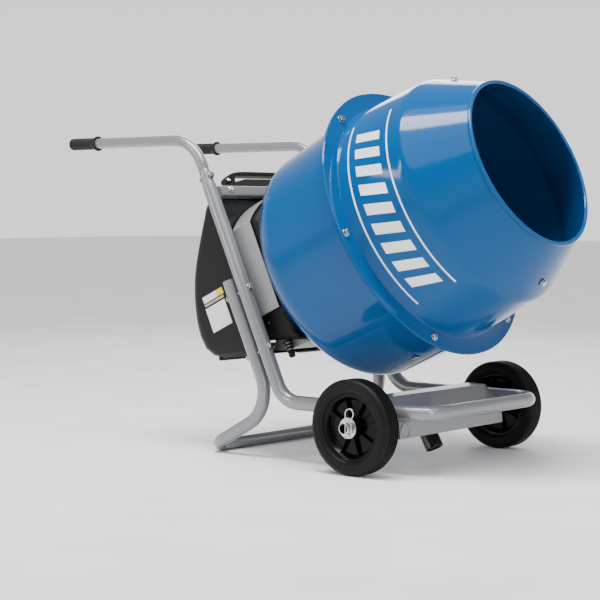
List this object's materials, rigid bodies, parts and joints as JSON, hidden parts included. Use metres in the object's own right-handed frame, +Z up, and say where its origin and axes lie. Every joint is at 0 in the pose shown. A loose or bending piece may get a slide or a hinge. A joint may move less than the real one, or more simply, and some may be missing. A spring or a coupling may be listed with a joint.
{
  "type": "concrete mixer",
  "caption": "Barrow concrete mixer: a tilted steel drum turned by a motor through belt and gear, on a tube frame with push handles and wheels.",
  "frame": {"origin": "on the ground, under the middle of the machine", "axes": "+X the way the drum mouth faces, +Y the left side of the machine, +Z up"},
  "size_m": [1.0617, 0.53, 0.7049],
  "materials": {
    "tube_paint": "light silver-grey gloss paint",
    "black_paint": "black gloss paint",
    "hoop_paint": "light grey satin paint",
    "drum_blue": "blue gloss paint",
    "blade_steel": "blue paint",
    "cover_plastic": "black moulded plastic",
    "fan_plastic": "black plastic",
    "grip_rubber": "black rubber",
    "tyre_rubber": "matte black solid rubber",
    "rim_plastic": "black gloss plastic",
    "zinc": "bright zinc plate",
    "bearing_steel": "ground steel",
    "cast_grey": "grey casting",
    "start_green": "green plastic",
    "stop_red": "red plastic"
  },
  "bodies": {
    "frame": {"axle": "zinc", "axle_box": "tube_paint", "axle_washer_left": "zinc", "axle_washer_right": "zinc", "bearing_housing": "cast_grey", "bottom_tray": "hoop_paint", "cable_gland": "grip_rubber", "cross_bar": "tube_paint", "drive_belt": "grip_rubber", "drive_hoop": "hoop_paint", "drum_bearing_front": "bearing_steel", "drum_bearing_rear": "bearing_steel", "foot_tube": "tube_paint", "frame_bolt_lower_left": "zinc", "frame_bolt_lower_right": "zinc", "frame_bolt_upper_left": "zinc", "frame_bolt_upper_right": "zinc", "front_housing": "cover_plastic", "gear_plate": "black_paint", "grip_left": "grip_rubber", "grip_right": "grip_rubber", "handle_bolt_left": "zinc", "handle_bolt_right": "zinc", "handle_left": "tube_paint", "handle_right": "tube_paint", "layshaft_bearing": "bearing_steel", "layshaft_bracket": "cast_grey", "main_tube": "tube_paint", "motor_can": "cast_grey", "r_clip_left": "zinc", "r_clip_right": "zinc", "rear_cover": "cover_plastic", "stand_socket": "black_paint", "switch_housing": "cover_plastic"},
    "drum": {"drum_bowl": "drum_blue", "drum_cone": "drum_blue", "drum_shaft": "zinc", "output_gear": "cast_grey", "mixing_blade_1": "blade_steel", "mixing_blade_2": "blade_steel", "flange_bolt_1": "zinc", "flange_bolt_2": "zinc", "flange_bolt_3": "zinc", "flange_bolt_4": "zinc", "flange_bolt_5": "zinc", "flange_bolt_6": "zinc", "blade_bolt_1": "zinc", "blade_bolt_2": "zinc", "blade_bolt_3": "zinc", "blade_bolt_4": "zinc"},
    "layshaft": {"pinion_shaft": "bearing_steel", "large_pulley": "cast_grey"},
    "rotor": {"rotor_shaft": "bearing_steel", "cooling_fan": "fan_plastic"},
    "wheel_left": {"wheel_left_tyre": "tyre_rubber", "wheel_left_rim": "rim_plastic"},
    "wheel_right": {"wheel_right_tyre": "tyre_rubber", "wheel_right_rim": "rim_plastic"},
    "start_button": {"start_button": "start_green"},
    "stop_button": {"stop_button": "stop_red"}
  },
  "joints": [
    {"name": "drum_spin", "type": "hinge", "parent": "frame", "child": "drum", "pos_m": [0.0812, 0, 0.3717], "axis": [0.9063, 0, 0.4226], "continuous": true},
    {"name": "layshaft_spin", "type": "hinge", "parent": "frame", "child": "layshaft", "pos_m": [0.0812, 0.0702, 0.3717], "axis": [0.9063, 0, 0.4226], "continuous": true},
    {"name": "rotor_spin", "type": "hinge", "parent": "frame", "child": "rotor", "pos_m": [0.0643, -0.1, 0.40795], "axis": [0.9063, 0, 0.4226], "continuous": true},
    {"name": "wheel_left_spin", "type": "hinge", "parent": "frame", "child": "wheel_left", "pos_m": [0.2522, 0.2305, 0.085], "axis": [0, 1, 0], "continuous": true},
    {"name": "wheel_right_spin", "type": "hinge", "parent": "frame", "child": "wheel_right", "pos_m": [0.2522, -0.2305, 0.085], "axis": [0, 1, 0], "continuous": true},
    {"name": "start_button_press", "type": "slide", "parent": "frame", "child": "start_button", "axis": [0, -1, 0], "range_m": [0, 0.003], "stiffness_N_per_m": 300},
    {"name": "stop_button_press", "type": "slide", "parent": "frame", "child": "stop_button", "axis": [0, -1, 0], "range_m": [0, 0.003], "stiffness_N_per_m": 300}
  ],
  "couplings": [
    {"joint": "layshaft_spin", "follows": "drum_spin", "ratio": -6},
    {"joint": "rotor_spin", "follows": "drum_spin", "ratio": -48}
  ]
}
